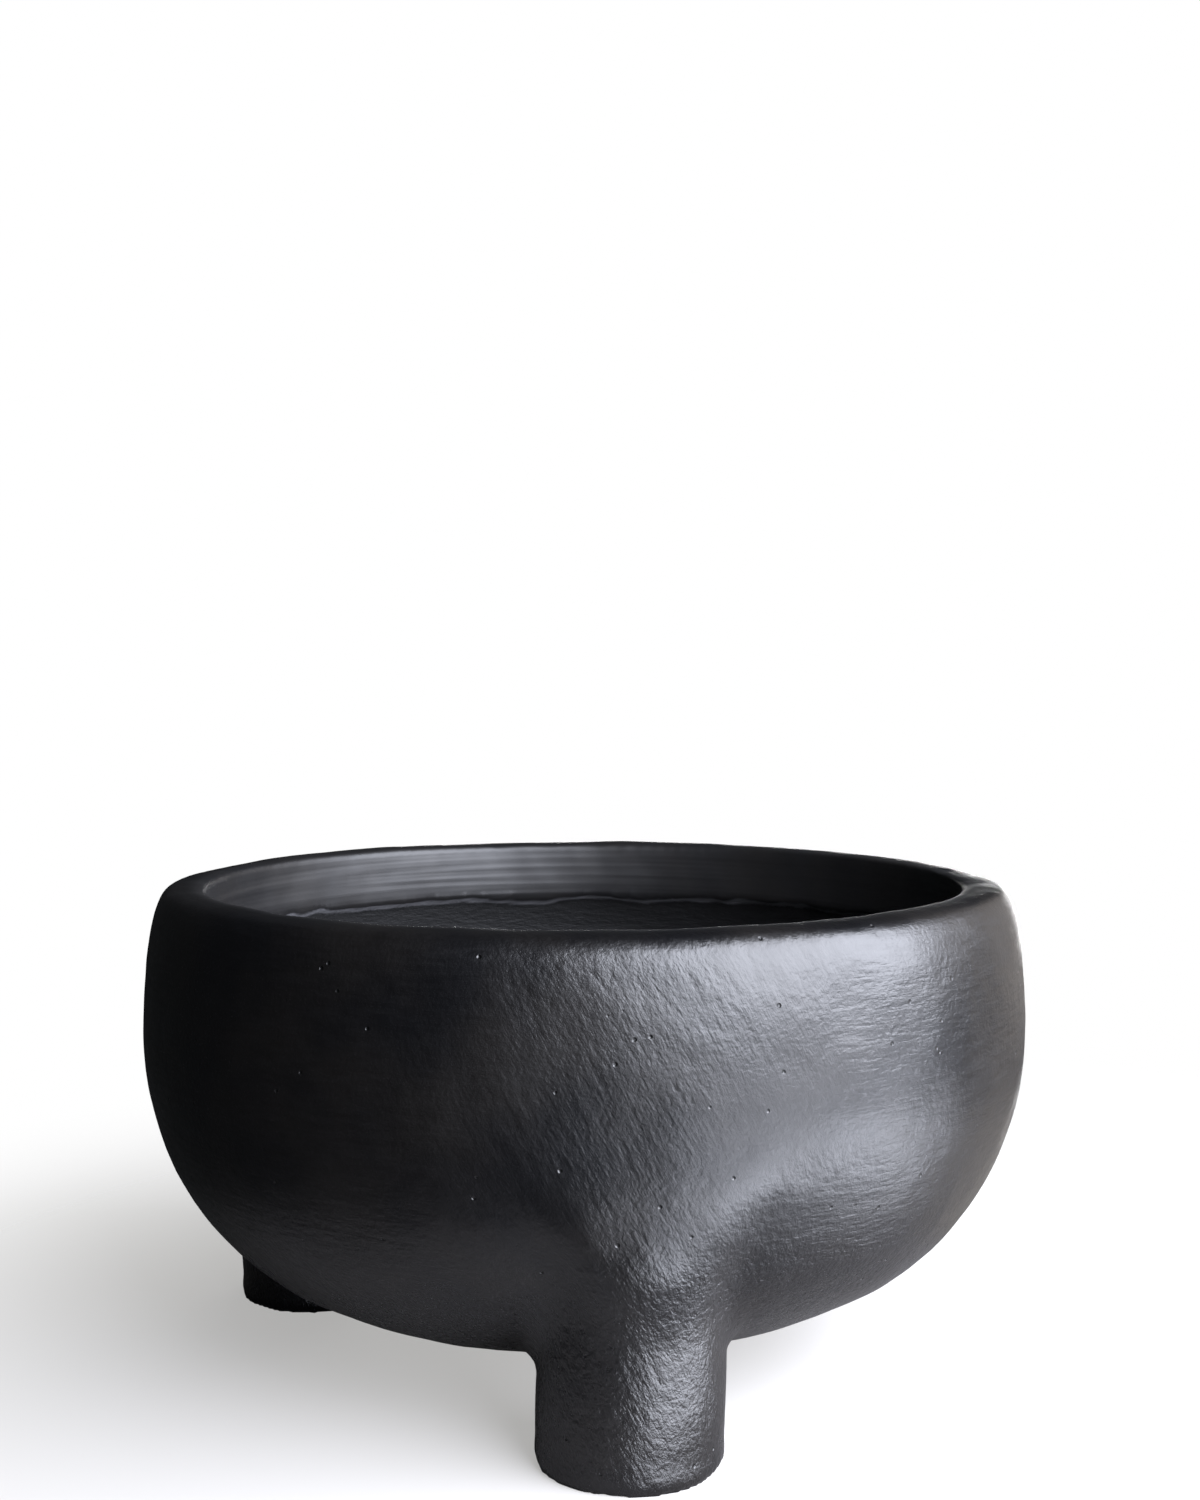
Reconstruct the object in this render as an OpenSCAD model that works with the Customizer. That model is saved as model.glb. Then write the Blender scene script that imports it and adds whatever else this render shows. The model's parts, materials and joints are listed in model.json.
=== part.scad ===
// Clay molcajete: a coil-built grinding bowl on three short legs luted to its belly.
// Millimetres, +Z up. The origin is on the floor, on the bowl's axis. The front leg is towards -Y.

/* [Bowl] */
// Widest outside diameter of the bowl
bowl_d = 150; // [144:1:158]
// Height from the floor to the crest of the lip
total_h = 79.5; // [78:0.5:83]
// How far below the lip the bowl is widest
widest_drop = 24.5; // [23:0.1:26]
// Gap between the floor and the middle of the bowl's underside
ground_gap = 8; // [7:0.1:9]
// Thickness of the wall at its widest ring
wall_t = 7.5; // [6.5:0.1:9]
// Thickness of the grinding floor at the middle
floor_t = 9.5; // [8:0.1:12]

/* [Lip] */
// Inside radius of the mouth
mouth_r = 63.6; // [61:0.1:65]
// Rounding of the lip's inner edge
lip_edge_r = 1.2; // [0.8:0.1:2]

/* [Coils] */
// Height of the joint between the moulded base and the wall coil, on the outside
wall_joint_z = 50; // [48:0.5:52]
// How far below the lip the joint of the rim coil is, on the outside
rim_joint_drop = 9; // [8:0.5:12]
// How much lower each joint is on the inside, where the coil is smeared down
scarf_drop = 3; // [1:0.5:5]

/* [Legs] */
// Radius of the ring on which the feet stand
foot_ring_r = 53.5; // [51:0.5:54]
// Radius of a leg
leg_r = 14.2; // [13:0.1:15]
// How far a leg leans outwards on its way up, in degrees
leg_lean = 6.5; // [5:0.5:7]
// Rounding round the bottom of a foot
foot_edge_r = 4; // [3:0.5:5]
// How much of the rounded foot is flattened away on the floor
foot_flat = 2; // [1.8:0.1:2.5]

/* [Luting] */
// Width of the clay fillet at the sides of a leg
lute_side = 5; // [4:0.5:6]
// Width of the clay fillet on the outside of a leg, where it runs into the belly
lute_front = 0.8; // [0.5:0.1:1]
// Width of the clay fillet on the inner side of a leg, under the bowl
lute_inner = 4; // [3:0.5:5]
// How far the fillet runs down the front of a leg
lute_front_drop = 8; // [5:0.5:9]
// How far the fillet runs down the sides and the inner side of a leg
lute_drop = 3; // [2:0.5:4]

/* [Hidden] */
$fn = 96;

// Shape of the bowl's outline. Each half runs from the widest ring to a pole as
// r = pole + (widest - pole) * (1 - t^droop)^(1 / fullness), with t from 0 at the ring to 1 at the pole.
belly_r = bowl_d / 2;
belly_z = total_h - widest_drop;
under_droop = 1.87;
under_fullness = 3.9;
shoulder_droop = 1.8;
shoulder_fullness = 6;
basin_droop = 2;
basin_fullness = 3;
mouth_droop = 2;
mouth_fullness = 1;
basin_r = belly_r - wall_t;
basin_floor_z = ground_gap + floor_t;
crest_r = mouth_r + lip_edge_r;
mouth_z = total_h - lip_edge_r;
half_steps = 16;
mouth_steps = 6;
lip_steps = 3;

// Turn of each leg about the bowl's axis
front_turn = 0;
rear_right_turn = 120;
rear_left_turn = -120;
leg_l = 44;
foot_steps = 5;

// Fineness of a fillet: sections round the leg, points along its curve, points along the belly
lute_sections = 40;
lute_curve_steps = 5;
lute_belly_steps = 3;
meet_steps = 16;
meet_reach = 52;
slope_step = 0.2;

clay = "#302e30";
clay_worn = "#3a383a";
clay_dark = "#262426";
// Larger than the whole piece, for cutting planes
far = 200;

// Half an outline from its pole (first point) to the widest ring (last point)
function half_outline(pole_r, pole_z, ring_r, ring_z, droop, fullness, steps) =
    [for (i = [0:steps])
        let (s = sin(90 * i / steps))
        [pole_r + (ring_r - pole_r) * s,
         ring_z + (pole_z - ring_z) * pow(1 - pow(s, fullness), 1 / droop)]];

function reversed(points) = [for (i = [len(points) - 1:-1:0]) points[i]];
function inner_points(points) = [for (i = [1:len(points) - 1]) points[i]];

// Outside, from the middle of the underside up to the crest of the lip
function outside_outline() = concat(
    half_outline(0, ground_gap, belly_r, belly_z, under_droop, under_fullness, half_steps),
    inner_points(reversed(half_outline(crest_r, total_h, belly_r, belly_z,
        shoulder_droop, shoulder_fullness, half_steps))));

// Quarter round from the crest of the lip to the mouth
function lip_outline() = [for (i = [1:lip_steps])
    let (a = 90 * i / lip_steps)
    [crest_r - lip_edge_r * sin(a), mouth_z + lip_edge_r * cos(a)]];

// Inside, from the mouth down to the middle of the grinding floor
function inside_outline() = concat(
    inner_points(half_outline(mouth_r, mouth_z, basin_r, belly_z,
        mouth_droop, mouth_fullness, mouth_steps)),
    inner_points(reversed(half_outline(0, basin_floor_z, basin_r, belly_z,
        basin_droop, basin_fullness, half_steps))));

// Height of the underside at a distance from the bowl's axis
function underside_z(r) =
    belly_z + (ground_gap - belly_z) *
        pow(1 - pow(min(r / belly_r, 1), under_fullness), 1 / under_droop);

// A point beside the front leg: distance from the leg's axis, angle round it (0 is +X,
// 270 is outwards) and distance up it
function beside_leg(away, turn, up) =
    let (out = away * sin(turn))
    [away * cos(turn),
     -foot_ring_r - up * sin(leg_lean) + out * cos(leg_lean),
     up * cos(leg_lean) + out * sin(leg_lean)];

function is_in_bowl(p) = p.z > underside_z(norm([p.x, p.y]));

// Distance up the leg at which a line beside it meets the underside, by halving the interval
function meeting(away, turn, low = 0, high = meet_reach, steps = meet_steps) =
    let (middle = (low + high) / 2)
    steps == 0 ? middle
    : is_in_bowl(beside_leg(away, turn, middle)) ? meeting(away, turn, low, middle, steps - 1)
    : meeting(away, turn, middle, high, steps - 1);

// Width of the fillet round the leg
function lute_width(turn) =
    let (c = cos(turn), s = sin(turn))
    lute_side * c * c + (s < 0 ? lute_front : lute_inner) * s * s;

// How far the fillet runs down the leg
function lute_fall(turn) =
    let (s = max(-sin(turn), 0))
    lute_drop + (lute_front_drop - lute_drop) * s * s;

// Point of a curve that leaves a towards the corner and arrives at b from it
function blend_point(a, corner, b, t) =
    (1 - t) * (1 - t) * a + 2 * t * (1 - t) * corner + t * t * b;

// How steeply the underside climbs away from the leg's axis
function belly_slope(away, turn) =
    (meeting(away + slope_step, turn) - meeting(away - slope_step, turn)) / (2 * slope_step);

// One section of the fillet: down the leg, out along the hollow curve, back along the belly.
// The curve's corner is where the belly's tangent reaches the leg, so it leaves both smoothly.
function lute_section(turn) =
    let (width = lute_width(turn),
         outer_r = leg_r + width,
         outer_up = meeting(outer_r, turn),
         corner_up = outer_up - belly_slope(outer_r, turn) * width,
         corner = beside_leg(leg_r, turn, corner_up),
         low = beside_leg(leg_r, turn, corner_up - lute_fall(turn)),
         outer = beside_leg(outer_r, turn, outer_up))
    concat(
        [beside_leg(leg_r, turn, meeting(leg_r, turn))],
        [for (i = [0:lute_curve_steps]) blend_point(low, corner, outer, i / lute_curve_steps)],
        [for (i = [lute_belly_steps - 1:-1:1])
            let (away = leg_r + width * i / lute_belly_steps)
            beside_leg(away, turn, meeting(away, turn))]);

module bowl_solid() {
    rotate_extrude() polygon(concat(outside_outline(), [[0, total_h]]));
}

module bowl_wall_section() {
    polygon(concat(outside_outline(), lip_outline(), inside_outline()));
}

// Band between two sloping joints, each given by its height at the outside of the wall
module joint_band(low_z, high_z) {
    inside_r = basin_r - wall_t;
    polygon([
        [0, low_z - scarf_drop],
        [inside_r, low_z - scarf_drop],
        [belly_r, low_z],
        [far, low_z],
        [far, high_z],
        [belly_r, high_z],
        [inside_r, high_z - scarf_drop],
        [0, high_z - scarf_drop]
    ]);
}

module wall_ring(low_z, high_z) {
    rotate_extrude() intersection() {
        bowl_wall_section();
        joint_band(low_z, high_z);
    }
}

module base_bowl() {
    color(clay) wall_ring(-far, wall_joint_z);
}

module wall_coil() {
    color(clay) wall_ring(wall_joint_z, total_h - rim_joint_drop);
}

module rim_coil() {
    color(clay_worn) wall_ring(total_h - rim_joint_drop, far);
}

module leg_blank() {
    rotate_extrude() polygon(concat(
        [[0, leg_l], [0, -foot_flat]],
        [for (i = [0:foot_steps])
            let (a = 90 * i / foot_steps)
            [leg_r - foot_edge_r + foot_edge_r * sin(a), foot_edge_r - foot_flat - foot_edge_r * cos(a)]],
        [[leg_r, leg_l]]));
}

// A leg with its sole flat on the floor and its top coped to the belly
module leg(turn) {
    rotate([0, 0, turn]) difference() {
        translate([0, -foot_ring_r, 0]) rotate([leg_lean, 0, 0]) leg_blank();
        translate([-far / 2, -far, -far]) cube(far);
        bowl_solid();
    }
}

// The ring of clay that fills the corner between a leg and the belly
module lute(turn) {
    sections = [for (i = [0:lute_sections - 1]) lute_section(360 * i / lute_sections)];
    ring = len(sections[0]);
    points = [for (section = sections) each section];
    faces = [for (i = [0:lute_sections - 1], j = [0:ring - 1])
        let (next_i = (i + 1) % lute_sections, next_j = (j + 1) % ring)
        each [[i * ring + j, i * ring + next_j, next_i * ring + next_j],
              [i * ring + j, next_i * ring + next_j, next_i * ring + j]]];
    rotate([0, 0, turn]) polyhedron(points, faces);
}

module leg_front() {
    color(clay) leg(front_turn);
}

module leg_rear_left() {
    color(clay) leg(rear_left_turn);
}

module leg_rear_right() {
    color(clay) leg(rear_right_turn);
}

module lute_front_leg() {
    color(clay_dark) lute(front_turn);
}

module lute_rear_left_leg() {
    color(clay_dark) lute(rear_left_turn);
}

module lute_rear_right_leg() {
    color(clay_dark) lute(rear_right_turn);
}

base_bowl();
wall_coil();
rim_coil();
leg_front();
leg_rear_left();
leg_rear_right();
lute_front_leg();
lute_rear_left_leg();
lute_rear_right_leg();
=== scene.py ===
"""A molcajete of smoke-fired black clay: a coil-built grinding bowl on three legs luted to its belly.

The bowl and its legs are shaped as one lump of clay, worked over as a potter would, and then parted
at the joints between the base, the wall coil, the rim coil, the legs and the clay round each leg.
Lengths are in metres. +Z is up, and the front leg is towards -Y.
"""

import json
import math

import bpy
from mathutils import Matrix, Vector, noise


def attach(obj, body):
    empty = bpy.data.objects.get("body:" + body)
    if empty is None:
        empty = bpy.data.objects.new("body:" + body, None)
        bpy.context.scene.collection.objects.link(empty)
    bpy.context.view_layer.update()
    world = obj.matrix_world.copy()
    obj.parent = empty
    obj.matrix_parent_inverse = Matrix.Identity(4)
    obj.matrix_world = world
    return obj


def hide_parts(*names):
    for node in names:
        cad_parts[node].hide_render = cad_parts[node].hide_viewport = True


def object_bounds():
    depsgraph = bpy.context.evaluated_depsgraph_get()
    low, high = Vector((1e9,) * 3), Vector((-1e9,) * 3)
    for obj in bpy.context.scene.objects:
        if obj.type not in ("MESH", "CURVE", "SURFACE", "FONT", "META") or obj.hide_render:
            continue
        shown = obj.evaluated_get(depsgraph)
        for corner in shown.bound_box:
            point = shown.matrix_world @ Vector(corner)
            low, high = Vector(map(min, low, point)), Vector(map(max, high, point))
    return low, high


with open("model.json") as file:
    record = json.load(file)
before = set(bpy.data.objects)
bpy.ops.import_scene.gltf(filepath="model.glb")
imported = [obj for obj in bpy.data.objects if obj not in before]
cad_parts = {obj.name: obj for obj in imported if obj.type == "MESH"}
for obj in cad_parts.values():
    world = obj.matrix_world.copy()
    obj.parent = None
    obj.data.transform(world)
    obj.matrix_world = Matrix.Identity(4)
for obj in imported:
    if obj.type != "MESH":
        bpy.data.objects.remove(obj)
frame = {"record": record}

MM = 0.001
CAD_BOX = [[float(value) for value in corner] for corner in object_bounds()]
MOUNTS = {mount["name"]: mount["pos_m"] for mount in frame["record"]["mounts"]}

# Bowl
BELLY_R = CAD_BOX[1][0]
TOTAL_H = CAD_BOX[1][2]
BELLY_Z = TOTAL_H - 24.5 * MM
GROUND_GAP = 8 * MM
WALL_T = 7.5 * MM
FLOOR_T = 9.5 * MM
BASIN_R = BELLY_R - WALL_T
BASIN_FLOOR_Z = GROUND_GAP + FLOOR_T
WALL_MIDDLE_R = BELLY_R - 3.9 * MM
MOUTH_R = 63.6 * MM
LIP_EDGE_R = 1.2 * MM
CREST_R = MOUTH_R + LIP_EDGE_R
MOUTH_Z = TOTAL_H - LIP_EDGE_R

# Shape of each part of the outline, as half_outline takes it
UNDER_DROOP = 1.87
UNDER_FULLNESS = 3.9
SHOULDER_DROOP = 1.8
SHOULDER_FULLNESS = 6
MOUTH_DROOP = 2
MOUTH_FULLNESS = 1
BASIN_DROOP = 2
BASIN_FULLNESS = 3

# The inside of the rim coil narrows down to the edge where it was smeared onto the wall
SMEAR_R = MOUTH_R - 0.5 * MM
SMEAR_Z = TOTAL_H - 11.5 * MM
TORN_EDGE_Z = TOTAL_H - 12 * MM
TORN_EDGE_HALF_T = 0.9 * MM
ROUGH_INSIDE_DEPTH = 0.9 * MM

# Crossed lines cut in the grinding floor, which fade out at the edge of it
SCORED_R = 43 * MM
SCORED_FADE = 8 * MM
SCORE_PITCH = 6.5 * MM
SCORE_TURNS = (math.radians(38), math.radians(-41))
SCORE_BOTTOM_R = 0.15 * MM
SCORE_TOP_R = 0.85 * MM
SCORE_WOBBLE = 1.6 * MM
SCORE_DEPTH = 0.7 * MM

# Unevenness from the hand that pressed the clay and the pebble that rubbed it
HAND_SPREAD = 26 * MM
HAND_DEPTH = 0.9 * MM
FACET_SPREAD = 7 * MM
FACET_DEPTH = 0.22 * MM

# Joints between the coils, by their height on the outside of the wall
WALL_JOINT_Z = 50 * MM
RIM_JOINT_Z = TOTAL_H - 9 * MM
SCARF_DROP = 3 * MM

# Legs
FOOT_RING_R = -MOUNTS["front_foot_sole"][1]
LEG_R = 14.2 * MM
LEG_LEAN = math.radians(6.5)
LEG_LENGTH = 44 * MM
FOOT_EDGE_R = 3.4 * MM
FOOT_FLAT = 2 * MM
LEG_SET_IN = 3 * MM
LEGS = {
    "front": "front_foot_sole",
    "rear_left": "rear_left_foot_sole",
    "rear_right": "rear_right_foot_sole",
}

# The root of a leg, drawn up over the belly: it fades in, stands proudest at the middle height and
# fades out, and it widens on its way up
LEG_ROOT_RISE = 2.4 * MM
ROOT_LOW_Z = 20 * MM
ROOT_MIDDLE_Z = 34 * MM
ROOT_HIGH_Z = 54 * MM
ROOT_WIDENS_Z = 30 * MM
ROOT_HALF_W = 15 * MM
ROOT_WIDENING = 11 * MM

# The corner between a leg and the belly: how far from it the clay was rubbed, low down and high up
RUBBED_LOW_R = 1.8 * MM
RUBBED_WIDENING = 7 * MM
RUBBED_LOW_Z = 16 * MM
RUBBED_HIGH_Z = 36 * MM

# Clay luted round a leg: how far it reaches from the leg and from the belly, how far it laps into
# the leg's side, and how deep under the bowl's skin the leg and the luting are bedded
LUTE_W = 5.5 * MM
LUTE_FALL = 4.5 * MM
LUTE_LAP = 1.2 * MM
BED_DEPTH = 1.6 * MM
COLLAR_SPAN = (-20 * MM, 45 * MM)
HEART_SPAN = (-15 * MM, 50 * MM)

# A sole is pressed flat up to here, and is smoothed and kept even a little above
SOLE_Z = 0.3 * MM
SOLE_SMOOTH_Z = 2.5 * MM
SOLE_BLEND_Z = 4.5 * MM
EVEN_ABOVE_SOLE = 4 * MM

# Fineness of the modelling
HALF_STEPS = 32
TURN_STEPS = 240
VOXEL = 0.95 * MM
BAR_SIDES = 96
JOINT_STEPS = 96
LIP_STEPS = 4
SLOPE_STEP = 0.2 * MM

# Points of a piece this close to the bowl's skin take their shading from it
ON_THE_SKIN = 0.05 * MM

# Longer than anything on the bowl, for cutters
FAR = 200 * MM


# ---------------------------------------------------------------- helpers

def only(piece):
    """Selects this piece and nothing else."""
    bpy.ops.object.select_all(action="DESELECT")
    piece.select_set(True)
    bpy.context.view_layer.objects.active = piece


def add_modifier(piece, kind, **settings):
    """Adds a modifier with these settings and applies it."""
    modifier = piece.modifiers.new(kind.lower(), kind)
    for key, value in settings.items():
        setattr(modifier, key, value)
    only(piece)
    bpy.ops.object.modifier_apply(modifier=modifier.name)


def copy_of(piece, name):
    """A second piece of the same shape, with a mesh of its own."""
    twin = piece.copy()
    twin.data = piece.data.copy()
    twin.name = twin.data.name = name
    bpy.context.collection.objects.link(twin)
    return twin


def turned(piece, turn):
    """Turns a piece's mesh about the bowl's axis."""
    piece.data.transform(Matrix.Rotation(turn, 4, "Z"))
    return piece


def carve(piece, cutter, operation):
    """Cuts a piece with another closed shape: DIFFERENCE, INTERSECT or UNION."""
    add_modifier(piece, "BOOLEAN", object=cutter, operation=operation, solver="MANIFOLD")
    return piece


def discard(*pieces):
    """Throws away shapes that are no longer needed."""
    for piece in pieces:
        bpy.data.objects.remove(piece, do_unlink=True)


def smoothstep(low, high, value):
    """0 up to low, 1 from high on, and a smooth rise between."""
    t = min(max((value - low) / (high - low), 0.0), 1.0)
    return t * t * (3 - 2 * t)


def weigh(piece, name, weight_at):
    """A vertex group whose weight at each point of the mesh is weight_at(point)."""
    group = piece.vertex_groups.new(name=name)
    for vertex in piece.data.vertices:
        weight = weight_at(vertex.co)
        if weight > 0:
            group.add([vertex.index], weight, "REPLACE")
    return name


# ---------------------------------------------------------------- the bowl's outline

def half_outline(pole_r, pole_z, ring_r, ring_z, droop, fullness, steps=HALF_STEPS):
    """Points (r, z) of a superellipse from its pole to the widest ring."""
    points = []
    for step in range(steps + 1):
        s = math.sin(math.pi / 2 * step / steps)
        rise = max(1 - s ** fullness, 0) ** (1 / droop)
        points.append((pole_r + (ring_r - pole_r) * s, ring_z + (pole_z - ring_z) * rise))
    return points


def outside_outline(offset=0.0):
    """From the middle of the underside up to the crest of the lip, moved out by offset."""
    ring_r = BELLY_R + offset
    under = half_outline(0, GROUND_GAP - offset, ring_r, BELLY_Z, UNDER_DROOP, UNDER_FULLNESS)
    shoulder = half_outline(
        CREST_R, TOTAL_H + offset, ring_r, BELLY_Z, SHOULDER_DROOP, SHOULDER_FULLNESS)
    return under + shoulder[-2::-1]


def lip_outline():
    """Quarter round from the crest of the lip to the mouth."""
    points = []
    for step in range(1, LIP_STEPS + 1):
        a = math.pi / 2 * step / LIP_STEPS
        points.append((CREST_R - LIP_EDGE_R * math.sin(a), MOUTH_Z + LIP_EDGE_R * math.cos(a)))
    return points


def inside_outline():
    """From the mouth down to the middle of the grinding floor. The rim coil narrows to its smeared
    lower edge, and the wall swells out again under it."""
    wall = half_outline(SMEAR_R, SMEAR_Z, BASIN_R, BELLY_Z, MOUTH_DROOP, MOUTH_FULLNESS)
    basin = half_outline(0, BASIN_FLOOR_Z, BASIN_R, BELLY_Z, BASIN_DROOP, BASIN_FULLNESS)
    return wall + basin[-2::-1]


def underside_z(r):
    """Height of the underside at a distance from the bowl's axis."""
    fall = max(1 - (r / BELLY_R) ** UNDER_FULLNESS, 0) ** (1 / UNDER_DROOP)
    return BELLY_Z + (GROUND_GAP - BELLY_Z) * fall


def in_hollow(point):
    """True on the inside of the wall, False on the outside. A surface of the basin's shape that runs
    down the middle of the wall's thickness parts the two."""
    r = math.hypot(point.x, point.y)
    if r > WALL_MIDDLE_R:
        return False
    middle_floor_z = (GROUND_GAP + BASIN_FLOOR_Z) / 2
    fall = (1 - (r / WALL_MIDDLE_R) ** BASIN_FULLNESS) ** (1 / BASIN_DROOP)
    middle_z = BELLY_Z + (middle_floor_z - BELLY_Z) * fall
    return point.z > middle_z


# ---------------------------------------------------------------- shapes

def lathe(name, outline, steps=TURN_STEPS):
    """A closed shape turned about the bowl's axis from an outline that starts and ends on the axis."""
    bpy.ops.object.select_all(action="DESELECT")
    bpy.ops.mesh.primitive_plane_add(size=MM)
    piece = bpy.context.object
    piece.name = piece.data.name = name
    bpy.ops.object.mode_set(mode="EDIT")
    bpy.ops.mesh.merge(type="CENTER")
    r, z = outline[0]
    bpy.ops.transform.translate(value=(r, 0, z))
    for next_r, next_z in outline[1:]:
        step_out = (next_r - r, 0, next_z - z)
        bpy.ops.mesh.extrude_vertices_move(TRANSFORM_OT_translate={"value": step_out})
        r, z = next_r, next_z
    bpy.ops.mesh.select_all(action="SELECT")
    bpy.ops.mesh.spin(steps=steps, angle=math.tau, center=(0, 0, 0), axis=(0, 0, 1))
    bpy.ops.mesh.select_all(action="SELECT")
    bpy.ops.mesh.remove_doubles(threshold=0.002 * MM)
    bpy.ops.mesh.normals_make_consistent(inside=False)
    bpy.ops.object.mode_set(mode="OBJECT")
    return piece


def filled_bowl(name, offset):
    """The bowl as a full lump without its hollow, with its skin moved out by offset."""
    return lathe(name, outside_outline(offset) + [(0, TOTAL_H + offset)])


def leaned_bar(name, radius, low, high, edge_r=0.0):
    """A bar round the front leg's axis, from low to high along it, with its lower edge rounded."""
    bpy.ops.object.select_all(action="DESELECT")
    bpy.ops.mesh.primitive_cylinder_add(
        vertices=BAR_SIDES, radius=radius, depth=high - low, location=(0, 0, (low + high) / 2))
    bar = bpy.context.object
    bar.name = bar.data.name = name
    bpy.ops.object.transform_apply(location=True, rotation=True, scale=True)
    if edge_r:
        bpy.ops.object.mode_set(mode="EDIT")
        bpy.ops.mesh.select_all(action="DESELECT")
        bpy.ops.object.mode_set(mode="OBJECT")
        for edge in bar.data.edges:
            ends = [bar.data.vertices[index].co.z for index in edge.vertices]
            edge.select = max(ends) < low + 0.1 * MM
        bpy.ops.object.mode_set(mode="EDIT")
        bpy.ops.mesh.select_mode(type="EDGE")
        bpy.ops.mesh.bevel(offset=edge_r, segments=6, affect="EDGES")
        bpy.ops.mesh.select_mode(type="VERT")
        bpy.ops.object.mode_set(mode="OBJECT")
    lean = Matrix.Rotation(LEG_LEAN, 4, "X")
    bar.data.transform(Matrix.Translation((0, -FOOT_RING_R, 0)) @ lean)
    return bar


def flat_sole(bar):
    """Cuts a leg off level with the floor."""
    only(bar)
    bpy.ops.object.mode_set(mode="EDIT")
    bpy.ops.mesh.select_all(action="SELECT")
    bpy.ops.mesh.bisect(plane_co=(0, 0, 0), plane_no=(0, 0, 1), clear_inner=True, use_fill=True)
    bpy.ops.object.mode_set(mode="OBJECT")
    return bar


def beside_leg(point, turn):
    """How far a point is from a leg's axis, and how far it is from the belly's surface."""
    p = Matrix.Rotation(-turn, 3, "Z") @ point
    axis = Vector((0, -math.sin(LEG_LEAN), math.cos(LEG_LEAN)))
    from_foot = p - Vector((0, -FOOT_RING_R, 0))
    away = (from_foot - axis * from_foot.dot(axis)).length
    r = math.hypot(point.x, point.y)
    slope = (underside_z(r + SLOPE_STEP) - underside_z(r - SLOPE_STEP)) / (2 * SLOPE_STEP)
    return away, (underside_z(r) - point.z) / math.hypot(1, slope)


# ---------------------------------------------------------------- working the clay

def leg_turns():
    """Each leg's name and its turn about the bowl's axis, the front leg at 0."""
    return {leg: math.atan2(MOUNTS[sole][0], -MOUNTS[sole][1]) for leg, sole in LEGS.items()}


def raised_clay():
    """The bowl with its three legs pressed on, as one lump."""
    bowl = lathe("clay", outside_outline() + lip_outline() + inside_outline())
    core = filled_bowl("core", -LEG_SET_IN)
    leg = flat_sole(leaned_bar("leg", LEG_R, -FOOT_FLAT, LEG_LENGTH, FOOT_EDGE_R))
    carve(leg, core, "DIFFERENCE")
    legs = [turned(copy_of(leg, "leg_" + name), turn) for name, turn in leg_turns().items()]
    discard(core, leg)
    only(bowl)
    for each in legs:
        each.select_set(True)
    bpy.ops.object.join()
    add_modifier(bowl, "REMESH", mode="VOXEL", voxel_size=VOXEL, adaptivity=0)
    add_modifier(bowl, "SMOOTH", factor=0.5, iterations=4)
    return bowl


def blended_in(point):
    """How much the corner between a leg and the belly is filled and rubbed: wide and soft high up
    on the belly, tight down by the underside."""
    if in_hollow(point):
        return 0.0
    reach = RUBBED_LOW_R + RUBBED_WIDENING * smoothstep(RUBBED_LOW_Z, RUBBED_HIGH_Z, point.z)
    weight = 0.0
    for turn in leg_turns().values():
        away, depth = beside_leg(point, turn)
        gap = math.hypot(away - LEG_R, depth)
        weight = max(weight, 1 - smoothstep(0.35 * reach, reach, gap))
    return weight


def leg_root(point):
    """How much the clay of a leg is raised where it was drawn up over the belly."""
    if in_hollow(point):
        return 0.0
    half_width = ROOT_HALF_W + ROOT_WIDENING * smoothstep(ROOT_WIDENS_Z, ROOT_HIGH_Z, point.z)
    weight = 0.0
    for turn in leg_turns().values():
        p = Matrix.Rotation(-turn, 3, "Z") @ point
        if p.y < 0:
            weight = max(weight, 1 - smoothstep(0.4 * half_width, half_width, abs(p.x)))
    fade_in = smoothstep(ROOT_LOW_Z, ROOT_MIDDLE_Z, point.z)
    fade_out = 1 - smoothstep(ROOT_MIDDLE_Z, ROOT_HIGH_Z, point.z)
    return weight * fade_in * fade_out


def off_the_floor(point):
    """0 on the soles of the feet, and 1 everywhere above them."""
    return smoothstep(SOLE_Z, EVEN_ABOVE_SOLE, point.z)


def near_sole(point):
    """1 on the soles and on their rounded edges, and 0 above them."""
    return 1 - smoothstep(SOLE_SMOOTH_Z, SOLE_BLEND_Z, point.z)


def ridge_z(point):
    """Height of the ragged line inside the mouth, where the rim coil was smeared down."""
    around = Vector((point.x, point.y, 0))
    wander = noise.noise(around / (14 * MM)) * 1.3 * MM
    ragged = noise.noise(around / (4 * MM)) * 0.6 * MM
    return TORN_EDGE_Z + wander + ragged


def left_rough(point):
    """1 on the inside below the smeared edge of the rim coil, which was never burnished."""
    if not in_hollow(point):
        return 0.0
    edge = ridge_z(point)
    return 1 - smoothstep(edge - TORN_EDGE_HALF_T, edge + TORN_EDGE_HALF_T, point.z)


def scored(point):
    """Depth, from 0 to 1, of the crossed lines cut in the grinding floor."""
    r = math.hypot(point.x, point.y)
    if r > SCORED_R or not in_hollow(point):
        return 0.0
    wobble = noise.noise(Vector((point.x, point.y, 0)) / (22 * MM)) * SCORE_WOBBLE
    deepest = 0.0
    for turn in SCORE_TURNS:
        across = point.x * math.cos(turn) + point.y * math.sin(turn) + wobble
        from_line = abs((across / SCORE_PITCH + 0.5) % 1 - 0.5) * SCORE_PITCH
        deepest = max(deepest, 1 - smoothstep(SCORE_BOTTOM_R, SCORE_TOP_R, from_line))
    return deepest * (1 - smoothstep(SCORED_R - SCORED_FADE, SCORED_R, r))


def cloud(name, size, depth):
    """A soft random pattern with patches of this size, for a Displace modifier."""
    texture = bpy.data.textures.new(name, "CLOUDS")
    texture.noise_scale = size
    texture.noise_depth = depth
    return texture


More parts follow.
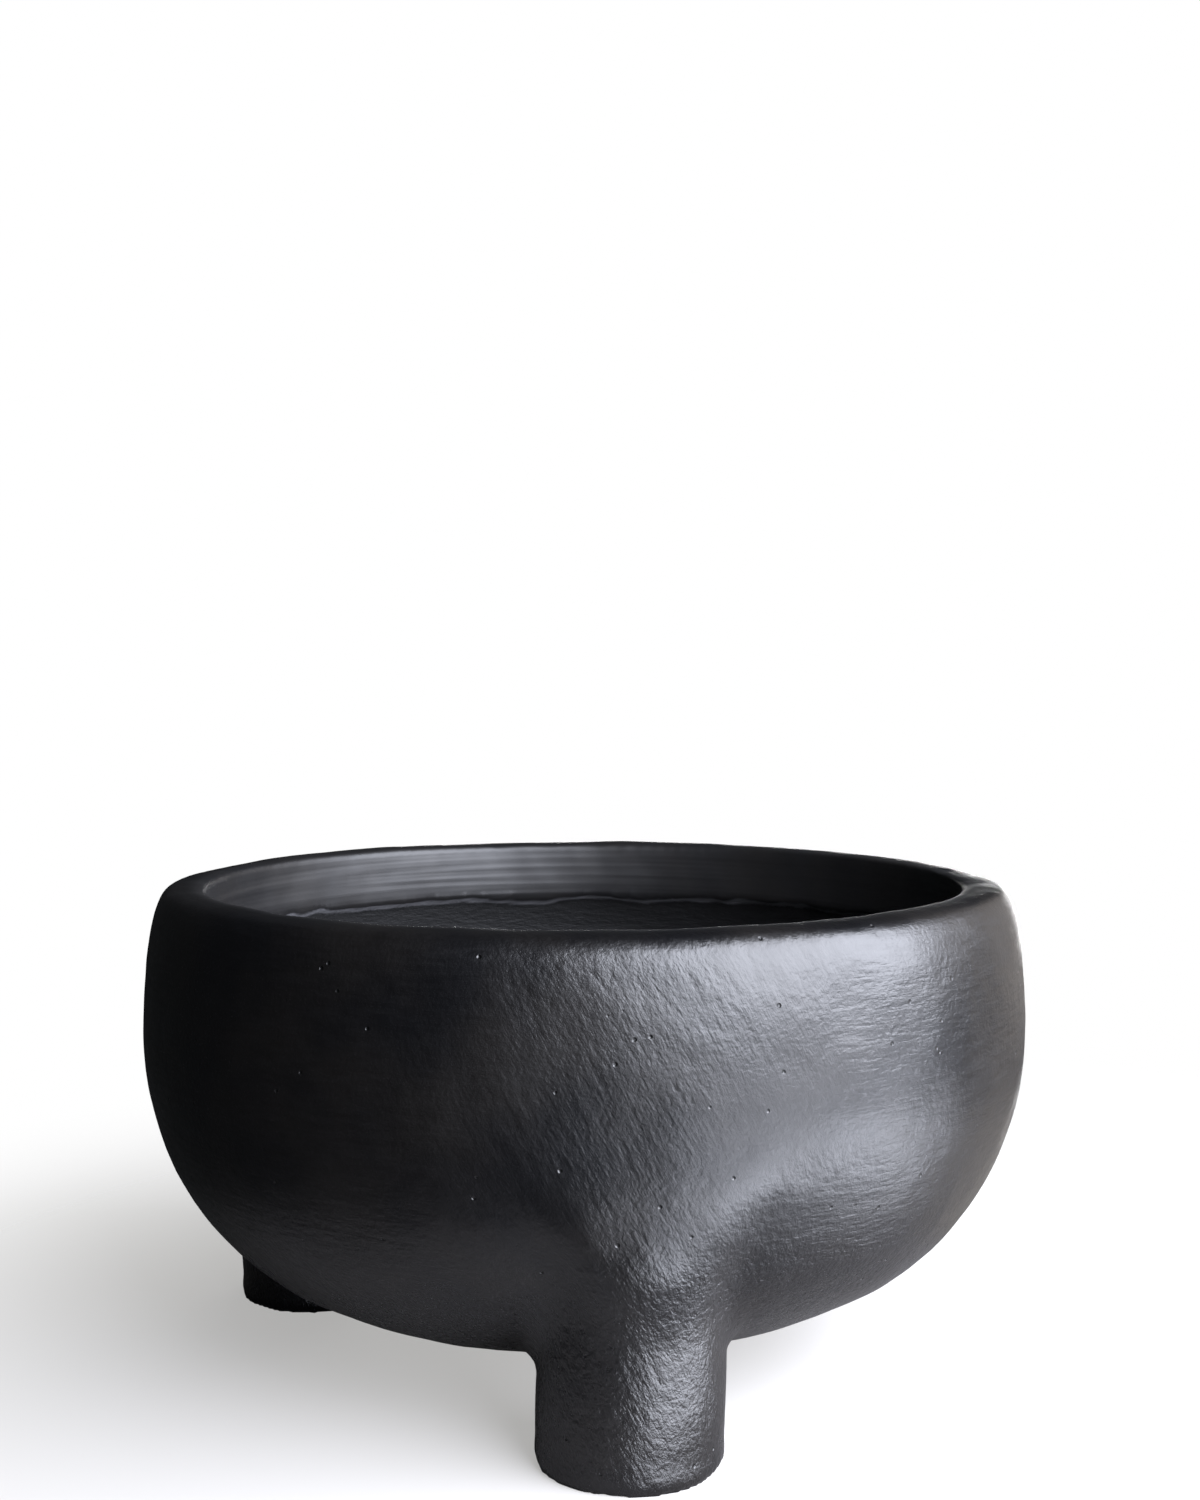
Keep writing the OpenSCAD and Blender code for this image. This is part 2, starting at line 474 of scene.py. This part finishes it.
def finer_floor(clay):
    """Doubles the mesh on the grinding floor, so that it can take the scored lines."""
    only(clay)
    bpy.ops.object.mode_set(mode="EDIT")
    bpy.ops.mesh.select_all(action="DESELECT")
    bpy.ops.object.mode_set(mode="OBJECT")
    for face in clay.data.polygons:
        centre = face.center
        face.select = math.hypot(centre.x, centre.y) < SCORED_R + MM and in_hollow(centre)
    bpy.ops.object.mode_set(mode="EDIT")
    bpy.ops.mesh.select_mode(type="FACE")
    bpy.ops.mesh.subdivide(number_cuts=1)
    bpy.ops.mesh.select_mode(type="VERT")
    bpy.ops.object.mode_set(mode="OBJECT")


def rest_on_floor(clay):
    """Rubs the soles flat and level."""
    only(clay)
    bpy.ops.object.mode_set(mode="EDIT")
    bpy.ops.mesh.select_all(action="DESELECT")
    bpy.ops.object.mode_set(mode="OBJECT")
    for vertex in clay.data.vertices:
        vertex.select = vertex.co.z < SOLE_Z
    bpy.ops.object.mode_set(mode="EDIT")
    bpy.ops.transform.resize(value=(1, 1, 0), center_override=(0, 0, 0))
    bpy.ops.object.mode_set(mode="OBJECT")


def worked_clay():
    """The whole bowl as the potter left it: blended, uneven, smeared inside and scored."""
    clay = raised_clay()
    group = weigh(clay, "blend", blended_in)
    add_modifier(clay, "SMOOTH", factor=0.5, iterations=60, vertex_group=group)
    group = weigh(clay, "leg_root", leg_root)
    add_modifier(clay, "DISPLACE", strength=LEG_ROOT_RISE, mid_level=0.0, vertex_group=group)
    finer_floor(clay)
    # The hand's unevenness only goes inwards, so that no size grows, and leaves the soles flat
    group = weigh(clay, "off_the_floor", off_the_floor)
    add_modifier(clay, "DISPLACE", texture=cloud("hand_pressure", HAND_SPREAD, 1),
                 texture_coords="LOCAL", strength=HAND_DEPTH, mid_level=1.0, vertex_group=group)
    add_modifier(clay, "DISPLACE", texture=cloud("rubbing_facets", FACET_SPREAD, 2),
                 texture_coords="LOCAL", strength=FACET_DEPTH, mid_level=1.0, vertex_group=group)
    group = weigh(clay, "rough", left_rough)
    add_modifier(clay, "DISPLACE", strength=-ROUGH_INSIDE_DEPTH, mid_level=0.0, vertex_group=group)
    group = weigh(clay, "scored", scored)
    add_modifier(clay, "DISPLACE", strength=-SCORE_DEPTH, mid_level=0.0, vertex_group=group)
    group = weigh(clay, "near_sole", near_sole)
    add_modifier(clay, "SMOOTH", factor=0.5, iterations=8, vertex_group=group)
    rest_on_floor(clay)
    clay.vertex_groups.clear()
    only(clay)
    bpy.ops.object.shade_smooth()
    return clay


# ---------------------------------------------------------------- parting at the joints

def below_joint(name, height):
    """Everything under a joint between coils, which slopes down towards the inside."""
    inside_r = BASIN_R - WALL_T
    return lathe(name, [
        (0, -FAR), (FAR, -FAR), (FAR, height), (BELLY_R, height),
        (inside_r, height - SCARF_DROP), (0, height - SCARF_DROP)], JOINT_STEPS)


def finish_piece(piece, whole, replaced, material):
    """Gives a piece the whole bowl's own shading, so that no joint shows, and its clay."""
    piece.name = piece.data.name = replaced + "_clay"
    only(piece)
    bpy.ops.object.shade_smooth_by_angle(angle=math.radians(50))
    modifier = piece.modifiers.new("shading", "DATA_TRANSFER")
    modifier.object = whole
    modifier.use_loop_data = True
    modifier.data_types_loops = {"CUSTOM_NORMAL"}
    modifier.loop_mapping = "POLYINTERP_NEAREST"
    modifier.use_max_distance = True
    modifier.max_distance = ON_THE_SKIN
    bpy.ops.object.modifier_apply(modifier=modifier.name)
    roughness = piece.data.attributes.new("left_rough", "FLOAT", "POINT")
    for vertex in piece.data.vertices:
        roughness.data[vertex.index].value = left_rough(vertex.co)
    piece.data.materials.clear()
    piece.data.materials.append(material)
    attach(piece, "root")
    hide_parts(replaced)


def make_pieces(clay_skin):
    """Parts the worked clay into the nine lumps that it was built from. The cutters of the front leg
    are turned round to the other two: a collar round the leg and its luting, the fillet within it
    that is the luting, and the room that is left for the leg."""
    whole = worked_clay()
    core = filled_bowl("core", -BED_DEPTH)
    lower_skin = filled_bowl("lower_skin", LUTE_FALL)
    collar = carve(leaned_bar("collar", LEG_R + LUTE_W, *COLLAR_SPAN), core, "DIFFERENCE")
    leg_heart = leaned_bar("leg_heart", LEG_R - LUTE_LAP, *HEART_SPAN)
    fillet = carve(copy_of(collar, "fillet"), lower_skin, "INTERSECT")
    carve(fillet, leg_heart, "DIFFERENCE")
    leg_room = carve(copy_of(collar, "leg_room"), lower_skin, "DIFFERENCE")
    carve(leg_room, carve(leg_heart, core, "DIFFERENCE"), "UNION")

    bowl = copy_of(whole, "bowl")
    for leg, turn in leg_turns().items():
        here = [turned(copy_of(cutter, "cutter"), turn) for cutter in (collar, fillet, leg_room)]
        round_leg, luting, shank_only = here
        carve(bowl, round_leg, "DIFFERENCE")
        lute = carve(copy_of(whole, "lute"), luting, "INTERSECT")
        shank = carve(copy_of(whole, "shank"), shank_only, "INTERSECT")
        finish_piece(lute, whole, "lute_" + leg + "_leg", clay_skin)
        finish_piece(shank, whole, "leg_" + leg, clay_skin)
        discard(*here)

    under_wall = below_joint("under_wall", WALL_JOINT_Z)
    under_rim = below_joint("under_rim", RIM_JOINT_Z)
    base = carve(copy_of(bowl, "base"), under_wall, "INTERSECT")
    wall = carve(carve(copy_of(bowl, "wall"), under_wall, "DIFFERENCE"), under_rim, "INTERSECT")
    rim = carve(copy_of(bowl, "rim"), under_rim, "DIFFERENCE")
    for piece, replaced in ((base, "base_bowl"), (wall, "wall_coil"), (rim, "rim_coil")):
        finish_piece(piece, whole, replaced, clay_skin)
    discard(whole, bowl, core, lower_skin, collar, leg_heart, fillet, leg_room)
    discard(under_wall, under_rim)


# ---------------------------------------------------------------- clay

def linear(code):
    """An sRGB hex colour as linear RGBA."""
    channels = [int(code[i:i + 2], 16) / 255 for i in (1, 3, 5)]
    return [c / 12.92 if c <= 0.04045 else ((c + 0.055) / 1.055) ** 2.4 for c in channels] + [1.0]


def node(tree, kind, inputs=None, **settings):
    """Adds a shader node with its settings and links, and gives back its outputs. An input's value
    is a number, a colour or another node's output."""
    made = tree.nodes.new(kind)
    for key, value in settings.items():
        setattr(made, key, value)
    for key, value in (inputs or {}).items():
        if isinstance(value, bpy.types.NodeSocket):
            tree.links.new(value, made.inputs[key])
        else:
            made.inputs[key].default_value = value
    return made.outputs


# The clay's grains: size in millimetres, detail, roughness, how many times longer along X, Y and Z,
# and how far that stretch leans to the right, in degrees, for someone facing the front leg
GRAINS = {
    "level strokes": (0.9, 3, 0.62, (7, 7, 1), 0),
    "slanted strokes": (0.9, 3, 0.62, (1, 1, 5), -28),
    "rubbed every way": (1.6, 3, 0.6, (1, 1, 1), 0),
    "grit": (0.8, 3, 0.65, (1, 1, 1), 0),
    "coarse grit": (2.6, 3, 0.5, (1, 1, 1), 0),
    "patches": (14, 2, 0.5, (1, 1, 1), 0),
    "smoke": (18, 3, 0.5, (1, 1, 1), 0),
    "wiped bands": (2.8, 1.5, 0.5, (40, 40, 1), 0),
    "finger grain": (0.9, 4, 0.65, (3, 3, 1), 0),
}

# Depth of the marks on the skin and spacing of its pits, in millimetres, and how many times deeper
# the marks are on the legs
STROKE_DEPTH = 0.095
GRIT_DEPTH = 0.08
PIT_DEPTH = 0.16
BAND_DEPTH = 0.5
FINGER_DEPTH = 0.26
PIT_SPACING = 4.6
DEEPER_ON_LEGS = 2.1


def burnished_earthenware():
    """Smoke-fired black earthenware, leather-hard burnished with a pebble and not glazed: a satin,
    nearly black skin with a soft broad highlight, broken by fine grit, pits and rubbing strokes.
    Inside, below the rim, it was left as the fingers wiped it: matte, grainy and a little greyer."""
    material = bpy.data.materials.new("smoke_fired_burnished_earthenware")
    material.use_nodes = True
    tree = material.node_tree
    tree.nodes.clear()
    place = node(tree, "ShaderNodeTexCoord")["Object"]
    where = node(tree, "ShaderNodeSeparateXYZ", {"Vector": place})
    level_place = node(tree, "ShaderNodeCombineXYZ", {"X": where["X"], "Y": where["Y"]})[0]
    from_axis = node(tree, "ShaderNodeVectorMath", {0: level_place}, operation="LENGTH")["Value"]
    rough_inside = node(tree, "ShaderNodeAttribute", attribute_name="left_rough")["Fac"]

    grain = {}
    for name, (size, detail, roughness, stretch, slant) in GRAINS.items():
        mapped = node(tree, "ShaderNodeMapping", {
            "Vector": place, "Rotation": (0, math.radians(slant), 0), "Scale": stretch},
            vector_type="TEXTURE")[0]
        grain[name] = node(tree, "ShaderNodeTexNoise", {
            "Vector": mapped, "Scale": 1 / (size * MM), "Detail": detail, "Roughness": roughness})["Fac"]

    # Sand in the clay was plucked out by the pebble and left pits, drawn a little larger than real
    # ones so that they show
    from_pit = node(tree, "ShaderNodeTexVoronoi", {
        "Vector": place, "Scale": 1 / (PIT_SPACING * MM), "Randomness": 1.0})["Distance"]

    # A wave round the bowl, highest at each leg, with ragged patches added
    from_back = node(tree, "ShaderNodeMath", {0: where["X"], 1: where["Y"]}, operation="ARCTAN2")[0]
    by_leg = node(tree, "ShaderNodeMath", {
        0: from_back, 1: len(LEGS), 2: math.pi}, operation="MULTIPLY_ADD")[0]
    by_leg = node(tree, "ShaderNodeMath", {0: by_leg}, operation="COSINE")[0]
    by_leg = node(tree, "ShaderNodeMath", {
        0: grain["patches"], 1: 1.6, 2: by_leg}, operation="MULTIPLY_ADD")[0]

    # Parts of the skin: what is measured, where the part starts to show and where it is all there
    part = {}
    for name, measure, start, full in (
            ("beside a leg", by_leg, 0.9, 1.6),
            ("low down", where["Z"], 34 * MM, 22 * MM),
            ("on a leg", where["Z"], 40 * MM, 26 * MM),
            ("underneath", from_axis, 50 * MM, 42 * MM),
            ("foot of the wall", where["Z"], 24 * MM, 12 * MM),
            ("within the lip", from_axis, MOUTH_R + 5 * MM, MOUTH_R + 2 * MM),
            ("up at the mouth", where["Z"], 56 * MM, 64 * MM),
            # Pits: a real hollow in the bump, and painted shade that darkens their colour
            ("pit and its painted shade", from_pit, 0.085, 0.03),
            ("browner", grain["smoke"], 0.3, 0.7),
            ("duller", grain["smoke"], 0.25, 0.75),
            # The torn edge of the smear, where a pale painted highlight stands in for the light the
            # ridge catches
            ("rise of the painted ridge highlight", rough_inside, 0.05, 0.4),
            ("fall of the painted ridge highlight", rough_inside, 0.95, 0.55)):
        part[name] = node(tree, "ShaderNodeMapRange", {
            "Value": measure, "From Min": start, "From Max": full}, interpolation_type="SMOOTHSTEP")[0]
    for name, one, other, operation in (
            ("towards a leg", "beside a leg", "low down", "MAXIMUM"),
            ("underneath", "underneath", "foot of the wall", "MULTIPLY"),
            ("in the mouth", "within the lip", "up at the mouth", "MULTIPLY"),
            ("painted ridge highlight", "rise of the painted ridge highlight", "fall of the painted ridge highlight", "MULTIPLY")):
        part[name] = node(tree, "ShaderNodeMath", {
            0: part[one], 1: part[other]}, operation=operation)[0]

    # Rubbing strokes go down into each leg, round the bowl between the legs, and every way underneath
    strokes = grain["level strokes"]
    for name, marks in (("towards a leg", "slanted strokes"), ("underneath", "rubbed every way")):
        strokes = node(tree, "ShaderNodeMix", {
            0: part[name], 2: strokes, 3: grain[marks]}, data_type="FLOAT")[0]

    marks_mm = 0.0
    for marks, depth in (
            (strokes, STROKE_DEPTH), (grain["grit"], GRIT_DEPTH), (grain["coarse grit"], GRIT_DEPTH)):
        marks_mm = node(tree, "ShaderNodeMath", {
            0: marks, 1: depth, 2: marks_mm}, operation="MULTIPLY_ADD")[0]
    deeper = node(tree, "ShaderNodeMix", {
        0: part["on a leg"], 2: 1.0, 3: DEEPER_ON_LEGS}, data_type="FLOAT")[0]
    marks_mm = node(tree, "ShaderNodeMath", {0: marks_mm, 1: deeper}, operation="MULTIPLY")[0]
    marks_mm = node(tree, "ShaderNodeMath", {
        0: part["pit and its painted shade"], 1: -PIT_DEPTH, 2: marks_mm}, operation="MULTIPLY_ADD")[0]

    # Inside the mouth the rim coil was wiped round with wet fingers, which left long soft bands, and
    # below it the wall was left grainy
    for share, marks, depth in (
            (part["in the mouth"], "wiped bands", BAND_DEPTH),
            (rough_inside, "finger grain", FINGER_DEPTH)):
        other_mm = node(tree, "ShaderNodeMath", {0: grain[marks], 1: depth}, operation="MULTIPLY")[0]
        marks_mm = node(tree, "ShaderNodeMix", {
            0: share, 2: marks_mm, 3: other_mm}, data_type="FLOAT")[0]
    height = node(tree, "ShaderNodeMath", {0: marks_mm, 1: MM}, operation="MULTIPLY")[0]
    bumpy = node(tree, "ShaderNodeBump", {"Height": height, "Distance": 1.0, "Strength": 1.0})["Normal"]

    # Smoke black, in places a little browner, greyer inside, with a pale painted highlight along the
    # torn smear and painted shade in the pits
    colour = linear("#09090b")
    for share, tone in (
            (part["browner"], "#110f0e"), (rough_inside, "#0b0b0c"),
            (part["painted ridge highlight"], "#67676a"), (part["pit and its painted shade"], "#080808")):
        colour = node(tree, "ShaderNodeMix", {0: share, 6: colour, 7: linear(tone)}, data_type="RGBA")[2]

    # Satin where it was rubbed, a little glossier on the legs, and matte inside
    dull = node(tree, "ShaderNodeMix", {0: part["duller"], 2: 0.22, 3: 0.30}, data_type="FLOAT")[0]
    for marks, duller in ((strokes, 0.22), (part["on a leg"], -0.07)):
        dull = node(tree, "ShaderNodeMath", {
            0: marks, 1: duller, 2: dull}, operation="MULTIPLY_ADD")[0]
    for share, wiped in ((part["in the mouth"], 0.5), (rough_inside, 0.62)):
        dull = node(tree, "ShaderNodeMix", {0: share, 2: dull, 3: wiped}, data_type="FLOAT")[0]

    shader = node(tree, "ShaderNodeBsdfPrincipled", {
        "Base Color": colour, "Roughness": dull, "IOR": 1.6, "Normal": bumpy})["BSDF"]
    node(tree, "ShaderNodeOutputMaterial", {"Surface": shader})
    return material


# ---------------------------------------------------------------- stage

# The camera stands a little to the left of the front leg, turned a hair to the right and dipped
CAMERA_AWAY = 318.9 * MM
CAMERA_HEIGHT = 113.9 * MM
CAMERA_SIDE = math.radians(6.9)
CAMERA_TURN = math.radians(0.474)
CAMERA_DIP = math.radians(2.31)
LENS_MM = 44.4
FLOOR_R = 600 * MM
FLOOR_MIDDLE = (50 * MM, -20 * MM, 0)
FLOOR_FADE = (100 * MM, 260 * MM)
# The table's share of gloss is this much times the facing of the glance to this power, up to all
GLOSS_GAIN = 9
GLOSS_POWER = 4

# Lights: degrees from the camera's side towards the right, degrees above the floor, distance, width
# and height in metres, power in watts and colour
LIGHT_AIM = Vector((0, 0, 40 * MM))
LIGHTS = {
    "window": (55, 26, 0.60, 0.90, 0.58, 22, "#eef2ff"),
    "room": (128, 10, 0.70, 0.60, 0.50, 0.6, "#fff4ea"),
    "doorway": (168, 1, 0.50, 0.36, 0.09, 1.6, "#ffffff"),
}


def pale_floor():
    """A pale matte table top that fades into the pale backdrop, with painted light and shade for the
    clay.
    """
    bpy.ops.object.select_all(action="DESELECT")
    bpy.ops.mesh.primitive_circle_add(vertices=96, radius=FLOOR_R, fill_type="NGON")
    floor = bpy.context.object
    floor.name = floor.data.name = "floor"
    material = bpy.data.materials.new("matte_white_laminate")
    material.use_nodes = True
    tree = material.node_tree
    tree.nodes.clear()
    place = node(tree, "ShaderNodeTexCoord")["Object"]
    side = node(tree, "ShaderNodeSeparateXYZ", {"Vector": place})["X"]
    away = node(tree, "ShaderNodeVectorMath", {0: place, 1: FLOOR_MIDDLE}, operation="DISTANCE")["Value"]
    from_bowl = node(tree, "ShaderNodeVectorMath", {0: place}, operation="LENGTH")["Value"]
    # Masks for the fade, for the painted light and shade the clay sees, and for where the gloss stops
    part = {}
    for name, measure, start, full in (
            ("faded", away, *FLOOR_FADE),
            ("painted light by the window", side, -50 * MM, 30 * MM),
            ("under the bowl", from_bowl, 110 * MM, 85 * MM),
            ("under the legs", from_bowl, 84 * MM, 70 * MM)):
        part[name] = node(tree, "ShaderNodeMapRange", {
            "Value": measure, "From Min": start, "From Max": full}, interpolation_type="SMOOTHSTEP")[0]

    # What the eye sees of the table, with soft shadows
    matte = node(tree, "ShaderNodeBsdfDiffuse", {"Color": linear("#e6e3df")})[0]
    glow = node(tree, "ShaderNodeEmission", {"Color": linear("#f4f3f1")})[0]
    matte = node(tree, "ShaderNodeMixShader", {0: 0.45, 1: matte, 2: glow})[0]

    # What the clay sees of the table: painted light by the window and under the bowl, painted shade away
    # from them, with a gloss that grows as the glance gets lower and stops under the legs
    painted_light_and_shade = linear("#0c0c0c")
    for share, tone in ((part["painted light by the window"], "#7e7c7a"), (part["under the bowl"], "#858280")):
        painted_light_and_shade = node(tree, "ShaderNodeMix", {0: share, 6: painted_light_and_shade, 7: linear(tone)}, data_type="RGBA")[2]
    dull = node(tree, "ShaderNodeBsdfDiffuse", {"Color": painted_light_and_shade})[0]
    gloss = node(tree, "ShaderNodeBsdfGlossy", {"Color": linear("#ffffff"), "Roughness": 0.15})[0]
    glossy = node(tree, "ShaderNodeLayerWeight", {"Blend": 0.5})["Facing"]
    glossy = node(tree, "ShaderNodeMath", {0: glossy, 1: GLOSS_POWER}, operation="POWER")[0]
    glossy = node(tree, "ShaderNodeMath", {
        0: glossy, 1: GLOSS_GAIN}, operation="MULTIPLY", use_clamp=True)[0]
    glossy = node(tree, "ShaderNodeMix", {
        0: part["under the legs"], 2: glossy, 3: 0.0}, data_type="FLOAT")[0]
    table = node(tree, "ShaderNodeMixShader", {0: glossy, 1: dull, 2: gloss})[0]

    # The fade to clear at the edge lets the table melt into the backdrop
    seen = node(tree, "ShaderNodeLightPath")["Is Camera Ray"]
    top = node(tree, "ShaderNodeMixShader", {0: seen, 1: table, 2: matte})[0]
    clear = node(tree, "ShaderNodeBsdfTransparent")[0]
    top = node(tree, "ShaderNodeMixShader", {0: part["faded"], 1: top, 2: clear})[0]
    node(tree, "ShaderNodeOutputMaterial", {"Surface": top})
    floor.data.materials.append(material)


def backdrop():
    """A pale backdrop for the eye, and a dim room for the clay."""
    world = bpy.data.worlds.new("studio")
    world.use_nodes = True
    tree = world.node_tree
    tree.nodes.clear()
    seen = node(tree, "ShaderNodeLightPath")["Is Camera Ray"]
    pale = node(tree, "ShaderNodeBackground", {"Color": linear("#ffffff"), "Strength": 1.0})[0]
    dim = node(tree, "ShaderNodeBackground", {"Color": linear("#8c9094"), "Strength": 0.08})[0]
    mixed = node(tree, "ShaderNodeMixShader", {0: seen, 1: dim, 2: pale})[0]
    node(tree, "ShaderNodeOutputWorld", {"Surface": mixed})
    bpy.context.scene.world = world


def soft_light(name, side, rise, away, width, height, power, colour):
    """A rectangular soft light aimed at the bowl, placed as LIGHTS says."""
    data = bpy.data.lights.new(name, "AREA")
    data.shape = "RECTANGLE"
    data.size = width
    data.size_y = height
    data.energy = power
    data.color = linear(colour)[:3]
    light = bpy.data.objects.new(name, data)
    turn = math.radians(side) - CAMERA_SIDE
    climb = math.radians(rise)
    level = math.cos(climb)
    towards = Vector((math.sin(turn) * level, -math.cos(turn) * level, math.sin(climb)))
    light.location = LIGHT_AIM + towards * away
    light.rotation_euler = towards.to_track_quat("Z", "Y").to_euler()
    light.visible_camera = False
    bpy.context.collection.objects.link(light)


def camera():
    """A close camera, a little above the lip."""
    data = bpy.data.cameras.new("camera")
    data.lens = LENS_MM
    data.sensor_width = 36
    data.clip_start = 0.01
    data.clip_end = 20
    eye = bpy.data.objects.new("camera", data)
    left = CAMERA_AWAY * math.sin(CAMERA_SIDE)
    forward = CAMERA_AWAY * math.cos(CAMERA_SIDE)
    eye.location = (-left, -forward, CAMERA_HEIGHT)
    eye.rotation_euler = (math.pi / 2 - CAMERA_DIP, 0, -CAMERA_SIDE - CAMERA_TURN)
    bpy.context.collection.objects.link(eye)
    bpy.context.scene.camera = eye


camera()
make_pieces(burnished_earthenware())
pale_floor()
backdrop()
for light_name, light_settings in LIGHTS.items():
    soft_light(light_name, *light_settings)
bpy.context.scene.view_settings.view_transform = "Standard"
